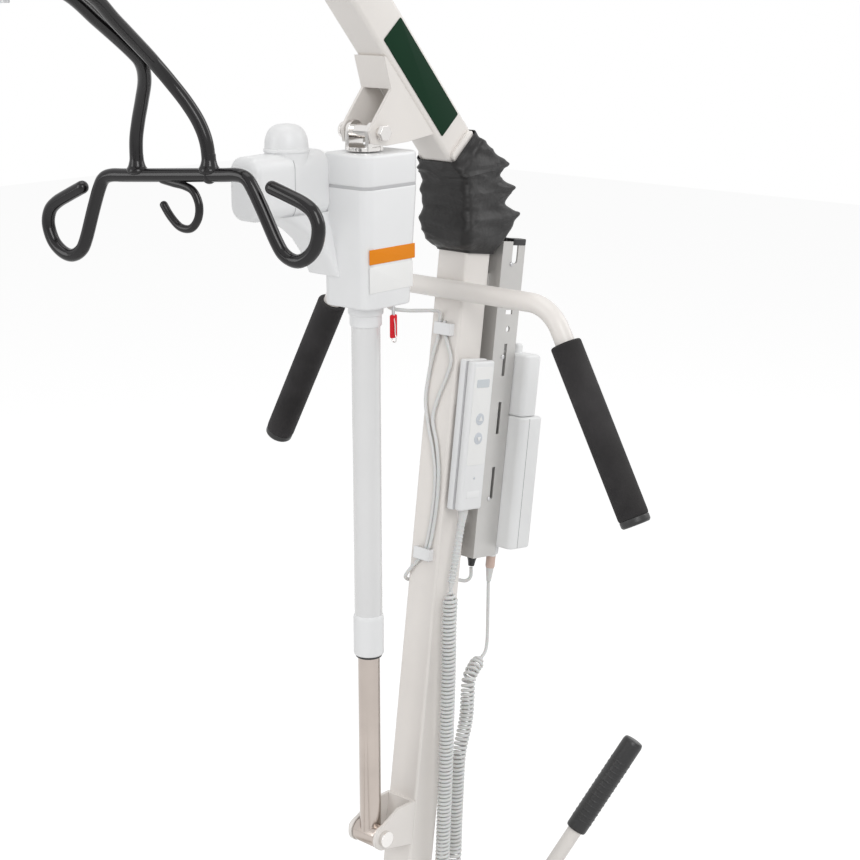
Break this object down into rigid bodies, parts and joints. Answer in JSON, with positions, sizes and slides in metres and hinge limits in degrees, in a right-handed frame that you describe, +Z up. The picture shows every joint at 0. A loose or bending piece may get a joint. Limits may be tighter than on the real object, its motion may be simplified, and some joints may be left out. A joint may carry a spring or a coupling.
{
  "type": "patient lift",
  "caption": "Wheeled mobile lift with spreading legs, leaning mast, electrically raised boom and a hooked sling cradle.",
  "frame": {"origin": "on the floor under the middle of the base", "axes": "+Z up, +X forward from the mast towards the cradle, +Y to the lift's left"},
  "size_m": [1.266, 0.6784, 1.6879],
  "materials": {
    "frame_paint": "satin off-white powder coat",
    "cradle_paint": "gloss black paint",
    "bright_steel": "polished",
    "zinc_steel": "zinc plated",
    "cover_plastic": "fine satin",
    "box_plastic": "fine satin",
    "foam": "matte foam",
    "black_plastic": "satin",
    "boot_fabric": "coated cloth",
    "panel_green": "satin film",
    "red_plastic": "gloss",
    "button_plastic": "soft",
    "cord_grey": "satin sleeve",
    "caster_steel": "zinc plated",
    "tyre_grey": "moulded tread"
  },
  "bodies": {
    "base": {"base_frame": "frame_paint", "mast_socket": "frame_paint", "mast": "frame_paint", "frame_bolts": "zinc_steel", "lower_bracket": "frame_paint", "lower_pin": "zinc_steel", "piston_rod": "bright_steel", "handlebar": "frame_paint", "foam_grips": "foam", "grip_end_caps": "black_plastic", "control_bracket": "zinc_steel", "control_box": "box_plastic", "handset_back": "box_plastic", "handset_front": "box_plastic", "strain_relief": "cord_grey", "coiled_cord": "cord_grey", "cord_tail": "cord_grey", "handset_plug": "cord_grey", "actuator_cable": "cord_grey", "cable_clips": "box_plastic", "actuator_plug": "black_plastic", "boot": "boot_fabric", "cable_slack": "cord_grey"},
    "battery": {"battery": "box_plastic"},
    "stop_button": {"stop_button": "red_plastic"},
    "up_button": {"up_button": "button_plastic"},
    "down_button": {"down_button": "button_plastic"},
    "left_leg": {"left_leg": "frame_paint"},
    "right_leg": {"right_leg": "frame_paint"},
    "left_tie_rod": {"left_tie_rod": "zinc_steel"},
    "right_tie_rod": {"right_tie_rod": "zinc_steel"},
    "spread_lever": {"spread_lever": "frame_paint", "lever_grip": "foam"},
    "rear_left_caster": {"rear_left_fork": "caster_steel"},
    "rear_right_caster": {"rear_right_fork": "caster_steel"},
    "front_left_caster": {"front_left_fork": "caster_steel"},
    "front_right_caster": {"front_right_fork": "caster_steel"},
    "rear_left_wheel": {"rear_left_wheel": "tyre_grey"},
    "rear_right_wheel": {"rear_right_wheel": "tyre_grey"},
    "front_left_wheel": {"front_left_wheel": "tyre_grey"},
    "front_right_wheel": {"front_right_wheel": "tyre_grey"},
    "left_brake_pedal": {"left_brake_pedal": "black_plastic"},
    "right_brake_pedal": {"right_brake_pedal": "black_plastic"},
    "actuator": {"actuator_tube": "cover_plastic", "tube_collars": "cover_plastic", "gear_housing": "cover_plastic", "housing_cover": "cover_plastic", "motor_cover": "cover_plastic", "drive_train": "zinc_steel"},
    "release_pull": {"release_pull": "red_plastic"},
    "top_fork": {"top_fork": "bright_steel"},
    "boom": {"boom": "frame_paint", "boom_bracket": "frame_paint", "boom_panels": "panel_green", "boom_pivot_pin": "zinc_steel", "boom_end_cap": "black_plastic"},
    "hanger": {"hanger": "zinc_steel"},
    "cradle": {"cradle_hub": "cradle_paint", "cradle_spine": "cradle_paint", "cradle_bars": "cradle_paint"}
  },
  "joints": [
    {"name": "boom_lift", "type": "hinge", "parent": "base", "child": "boom", "pos_m": [-0.39548, 0, 1.26], "axis": [0, 1, 0], "range_deg": [0, 55.7], "deforming": ["boot"]},
    {"name": "actuator_slide", "type": "slide", "parent": "base", "child": "actuator", "axis": [0, 0, -1], "range_m": [0, 0.211], "deforming": ["cable_slack"]},
    {"name": "fork_hinge", "type": "hinge", "parent": "boom", "child": "top_fork", "pos_m": [-0.197, 0, 1.365], "axis": [0, 1, 0], "range_deg": [-56, 0]},
    {"name": "hanger_tilt", "type": "hinge", "parent": "boom", "child": "hanger", "pos_m": [0.32064, 0, 1.65749], "axis": [0, 1, 0], "range_deg": [-56, 0]},
    {"name": "cradle_swivel", "type": "hinge", "parent": "hanger", "child": "cradle", "pos_m": [0.32064, 0, 1.56009], "axis": [0, 0, 1], "continuous": true},
    {"name": "left_leg_spread", "type": "hinge", "parent": "base", "child": "left_leg", "pos_m": [-0.427, 0.265, 0.085], "axis": [0, 0, 1], "range_deg": [0, 12]},
    {"name": "right_leg_spread", "type": "hinge", "parent": "base", "child": "right_leg", "pos_m": [-0.427, -0.265, 0.085], "axis": [0, 0, 1], "range_deg": [-12, 0]},
    {"name": "spread_lever_turn", "type": "hinge", "parent": "base", "child": "spread_lever", "pos_m": [-0.347, 0, 0.112], "axis": [0, 0, 1], "range_deg": [0, 65]},
    {"name": "left_tie_rod_hinge", "type": "hinge", "parent": "left_leg", "child": "left_tie_rod", "pos_m": [-0.307, 0.265, 0.12], "axis": [0, 0, 1], "range_deg": [-12, 0]},
    {"name": "right_tie_rod_hinge", "type": "hinge", "parent": "right_leg", "child": "right_tie_rod", "pos_m": [-0.307, -0.265, 0.12], "axis": [0, 0, 1], "range_deg": [0, 12]},
    {"name": "battery_slide", "type": "slide", "parent": "base", "child": "battery", "axis": [-0.1349, 0, 0.9909], "range_m": [0, 0.06]},
    {"name": "stop_button_press", "type": "slide", "parent": "base", "child": "stop_button", "axis": [0.9909, 0, 0.1349], "range_m": [0, 0.004], "stiffness_N_per_m": 800, "springref_m": -0.001},
    {"name": "up_button_press", "type": "slide", "parent": "base", "child": "up_button", "axis": [0, -1, 0], "range_m": [0, 0.0015], "stiffness_N_per_m": 400, "springref_m": -0.0005},
    {"name": "down_button_press", "type": "slide", "parent": "base", "child": "down_button", "axis": [0, -1, 0], "range_m": [0, 0.0015], "stiffness_N_per_m": 400, "springref_m": -0.0005},
    {"name": "release_pull_slide", "type": "slide", "parent": "actuator", "child": "release_pull", "axis": [0, 0, -1], "range_m": [0, 0.008], "stiffness_N_per_m": 300, "springref_m": -0.002},
    {"name": "rear_left_swivel", "type": "hinge", "parent": "base", "child": "rear_left_caster", "pos_m": [-0.547, 0.265, 0.12], "axis": [0, 0, 1], "continuous": true},
    {"name": "rear_left_roll", "type": "hinge", "parent": "rear_left_caster", "child": "rear_left_wheel", "pos_m": [-0.575, 0.265, 0.05], "axis": [0, 1, 0], "continuous": true},
    {"name": "front_left_swivel", "type": "hinge", "parent": "left_leg", "child": "front_left_caster", "pos_m": [0.608, 0.265, 0.1], "axis": [0, 0, 1], "continuous": true},
    {"name": "front_left_roll", "type": "hinge", "parent": "front_left_caster", "child": "front_left_wheel", "pos_m": [0.588, 0.265, 0.0375], "axis": [0, 1, 0], "continuous": true},
    {"name": "left_brake_press", "type": "hinge", "parent": "rear_left_caster", "child": "left_brake_pedal", "pos_m": [-0.609, 0.265, 0.0965], "axis": [0, -1, 0], "range_deg": [0, 12], "stiffness_Nm_per_rad": 2, "springref_deg": -2.86},
    {"name": "rear_right_swivel", "type": "hinge", "parent": "base", "child": "rear_right_caster", "pos_m": [-0.547, -0.265, 0.12], "axis": [0, 0, 1], "continuous": true},
    {"name": "rear_right_roll", "type": "hinge", "parent": "rear_right_caster", "child": "rear_right_wheel", "pos_m": [-0.575, -0.265, 0.05], "axis": [0, 1, 0], "continuous": true},
    {"name": "front_right_swivel", "type": "hinge", "parent": "right_leg", "child": "front_right_caster", "pos_m": [0.608, -0.265, 0.1], "axis": [0, 0, 1], "continuous": true},
    {"name": "front_right_roll", "type": "hinge", "parent": "front_right_caster", "child": "front_right_wheel", "pos_m": [0.588, -0.265, 0.0375], "axis": [0, 1, 0], "continuous": true},
    {"name": "right_brake_press", "type": "hinge", "parent": "rear_right_caster", "child": "right_brake_pedal", "pos_m": [-0.609, -0.265, 0.0965], "axis": [0, -1, 0], "range_deg": [0, 12], "stiffness_Nm_per_rad": 2, "springref_deg": -2.86}
  ],
  "couplings": [
    {"joint": "actuator_slide", "follows": "boom_lift", "m_per_rad": 0.21578},
    {"joint": "fork_hinge", "follows": "boom_lift", "ratio": -1},
    {"joint": "hanger_tilt", "follows": "boom_lift", "ratio": -1},
    {"joint": "right_leg_spread", "follows": "left_leg_spread", "ratio": -1},
    {"joint": "spread_lever_turn", "follows": "left_leg_spread", "ratio": 5.4},
    {"joint": "left_tie_rod_hinge", "follows": "left_leg_spread", "ratio": -1},
    {"joint": "right_tie_rod_hinge", "follows": "left_leg_spread", "ratio": 1}
  ]
}
